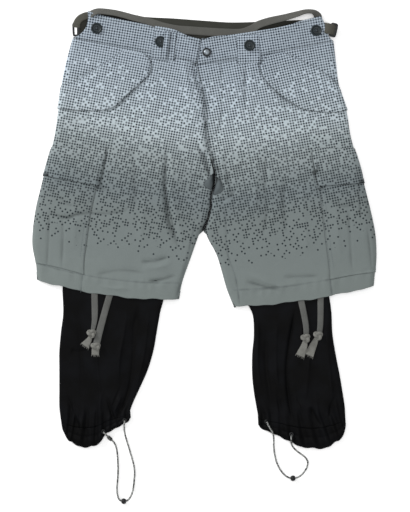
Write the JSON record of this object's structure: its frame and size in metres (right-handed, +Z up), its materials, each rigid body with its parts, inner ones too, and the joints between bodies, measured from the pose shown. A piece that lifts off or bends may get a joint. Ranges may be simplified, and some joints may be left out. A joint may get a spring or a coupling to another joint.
{
  "type": "cargo shorts",
  "caption": "Knee-length cargo shorts laid flat: flapped side pockets, a buttoned waistband, ties at the hems and a long thin liner with corded cuffs.",
  "frame": {"origin": "on the surface the shorts lie on, under the middle of the garment without its free cords and ties", "axes": "+Z up from the surface, +Y from the hems to the waist, +X to the wearer's left"},
  "size_m": [0.626, 0.8936, 0.0155],
  "materials": {
    "printed_cloth": "woven cotton with a fine dot check that thins out towards the hem",
    "plain_cloth": "plain woven cotton",
    "waist_facing": "plain woven cotton facing",
    "liner_nylon": "thin plain-weave nylon with a slight sheen",
    "webbing": "woven cotton tape",
    "cord_cover": "braided elastic cord with dark flecks",
    "button_plastic": "dark moulded button",
    "snap_metal": "domed nickel snap cap",
    "black_plastic": "moulded black plastic"
  },
  "bodies": {
    "root": {"back_panel_left": "printed_cloth", "back_panel_right": "printed_cloth", "belt_loop_left": "printed_cloth", "belt_loop_right": "printed_cloth", "cargo_flap_left": "printed_cloth", "cargo_flap_right": "printed_cloth", "cargo_pocket_left": "printed_cloth", "cargo_pocket_right": "printed_cloth", "cord_bead_left": "black_plastic", "cord_bead_right": "black_plastic", "cord_sleeve_right": "webbing", "crotch_gusset_left": "plain_cloth", "crotch_gusset_right": "plain_cloth", "cuff_cord_left": "cord_cover", "cuff_cord_right": "cord_cover", "cuff_eyelet_inner_left": "black_plastic", "cuff_eyelet_inner_right": "black_plastic", "cuff_eyelet_outer_left": "black_plastic", "cuff_eyelet_outer_right": "black_plastic", "fly_shield": "printed_cloth", "fly_snap": "snap_metal", "front_panel_left": "printed_cloth", "front_panel_right": "printed_cloth", "hem_tie_left_inner": "webbing", "hem_tie_left_outer": "webbing", "hem_tie_right_inner": "webbing", "hem_tie_right_outer": "webbing", "hip_flap_left": "printed_cloth", "hip_flap_right": "printed_cloth", "liner_back_left": "liner_nylon", "liner_back_right": "liner_nylon", "liner_cuff_back_left": "liner_nylon", "liner_cuff_back_right": "liner_nylon", "liner_cuff_front_left": "liner_nylon", "liner_cuff_front_right": "liner_nylon", "liner_front_left": "liner_nylon", "liner_front_right": "liner_nylon", "side_buckle_left": "black_plastic", "side_buckle_right": "black_plastic", "side_strap_left": "webbing", "side_strap_right": "webbing", "tie_knot_left_inner": "webbing", "tie_knot_left_outer": "webbing", "tie_knot_right_inner": "webbing", "tie_knot_right_outer": "webbing", "waist_button_1": "button_plastic", "waist_button_2": "button_plastic", "waist_button_3": "button_plastic", "waist_button_4": "button_plastic", "waist_tape": "webbing", "waistband_back": "waist_facing", "waistband_front_left": "printed_cloth", "waistband_front_right": "printed_cloth"}
  },
  "joints": []
}
